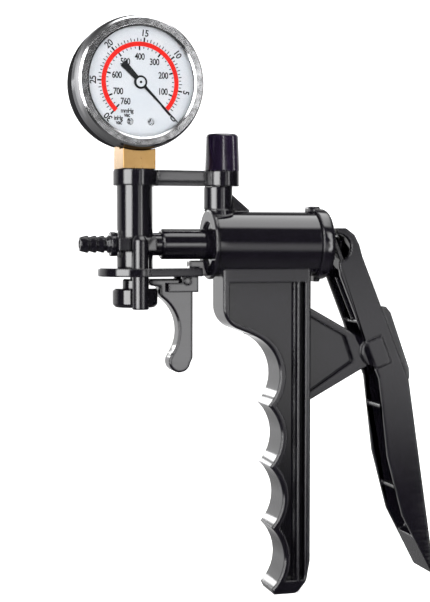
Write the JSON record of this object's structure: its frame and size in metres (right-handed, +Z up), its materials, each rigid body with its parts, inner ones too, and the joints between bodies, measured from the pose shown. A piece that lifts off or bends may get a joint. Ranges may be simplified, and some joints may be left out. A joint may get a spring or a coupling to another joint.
{
  "type": "hand vacuum pump",
  "caption": "Pistol-grip hand vacuum pump with a squeeze lever, scalloped grip, release trigger, hose barb and dial vacuum gauge.",
  "frame": {"origin": "on the barrel and hose-barb axis, at the front face of the barb's collar where the hose end butts", "axes": "+X from the barb towards the squeeze lever, +Z up along the valve column towards the gauge, the dial faces -Y"},
  "size_m": [0.1255, 0.0244, 0.1917],
  "materials": {
    "black_plastic": "gloss moulded black plastic",
    "black_knob": "gloss moulded black plastic",
    "cap_rubber": "smooth black cap with a faint violet sheen",
    "brass": "machined brass",
    "chrome": "polished rolled bezel",
    "case_black": "semi-gloss black paint",
    "glass": "clear window",
    "dial_white": "white printed dial",
    "pointer_black": "matt black pointer",
    "steel": "machined steel",
    "rubber": "nitrile rubber",
    "white_plastic": "moulded acetal"
  },
  "bodies": {
    "pump": {"bourdon_tube": "brass", "brace_strap": "black_plastic", "case_plug": "rubber", "dial_screws": "steel", "finger_plate": "black_plastic", "front_flange": "black_plastic", "gauge_bezel": "chrome", "gauge_case": "case_black", "gauge_dial": "dial_white", "gauge_glass": "glass", "gauge_seal": "rubber", "gauge_shank": "brass", "hose_barb": "black_plastic", "inlet_valve": "rubber", "movement_frame": "brass", "neck_seal": "rubber", "outlet_sleeve": "black_plastic", "post_cap": "cap_rubber", "pump_body": "black_plastic", "rear_cap": "black_plastic", "rod_bush": "white_plastic", "trigger_bracket": "black_plastic", "trigger_pin": "black_plastic", "tube_socket": "brass", "valve_column": "black_plastic", "valve_seat": "rubber", "vent_tube": "black_plastic"},
    "lever": {"squeeze_lever": "black_plastic", "lever_pin": "steel"},
    "piston": {"piston_rod": "black_plastic", "piston_head": "white_plastic", "piston_cup": "rubber", "piston_screw": "steel", "return_spring": "steel"},
    "release_valve": {"release_stem": "black_knob", "release_knob": "black_knob", "stem_seal": "rubber", "stem_spring": "steel"},
    "trigger": {"release_trigger": "black_plastic"},
    "pointer": {"pointer": "pointer_black", "pointer_arbor": "steel"},
    "sector": {"sector_gear": "brass"}
  },
  "joints": [
    {"name": "lever_squeeze", "type": "hinge", "parent": "pump", "child": "lever", "pos_m": [0.09125, 0, -0.03675], "axis": [0, 1, 0], "range_deg": [0, 28], "stiffness_Nm_per_rad": 0.35, "springref_deg": -8.59},
    {"name": "piston_slide", "type": "slide", "parent": "pump", "child": "piston", "axis": [1, 0, 0], "range_m": [0, 0.0195], "deforming": ["return_spring"]},
    {"name": "trigger_pull", "type": "hinge", "parent": "pump", "child": "trigger", "pos_m": [0.0247, 0, -0.012], "axis": [0, -1, 0], "range_deg": [0, 14], "stiffness_Nm_per_rad": 0.02, "springref_deg": -11.46},
    {"name": "release_slide", "type": "slide", "parent": "pump", "child": "release_valve", "axis": [0, 0, -1], "range_m": [0, 0.0024], "stiffness_N_per_m": 2, "springref_m": -0.006, "deforming": ["stem_spring"]},
    {"name": "pointer_turn", "type": "hinge", "parent": "pump", "child": "pointer", "pos_m": [0.0084, 0, 0.0521], "axis": [0.0872, -0.9962, 0], "range_deg": [0, 270], "stiffness_Nm_per_rad": 0.00002},
    {"name": "sector_swing", "type": "hinge", "parent": "pump", "child": "sector", "pos_m": [0.0084, 0, 0.0465], "axis": [0.0872, -0.9962, 0], "range_deg": [-27.5, 0]}
  ],
  "couplings": [
    {"joint": "piston_slide", "follows": "lever_squeeze", "m_per_rad": 0.0385},
    {"joint": "release_slide", "follows": "trigger_pull", "m_per_rad": 0.009},
    {"joint": "sector_swing", "follows": "pointer_turn", "ratio": -0.1}
  ]
}
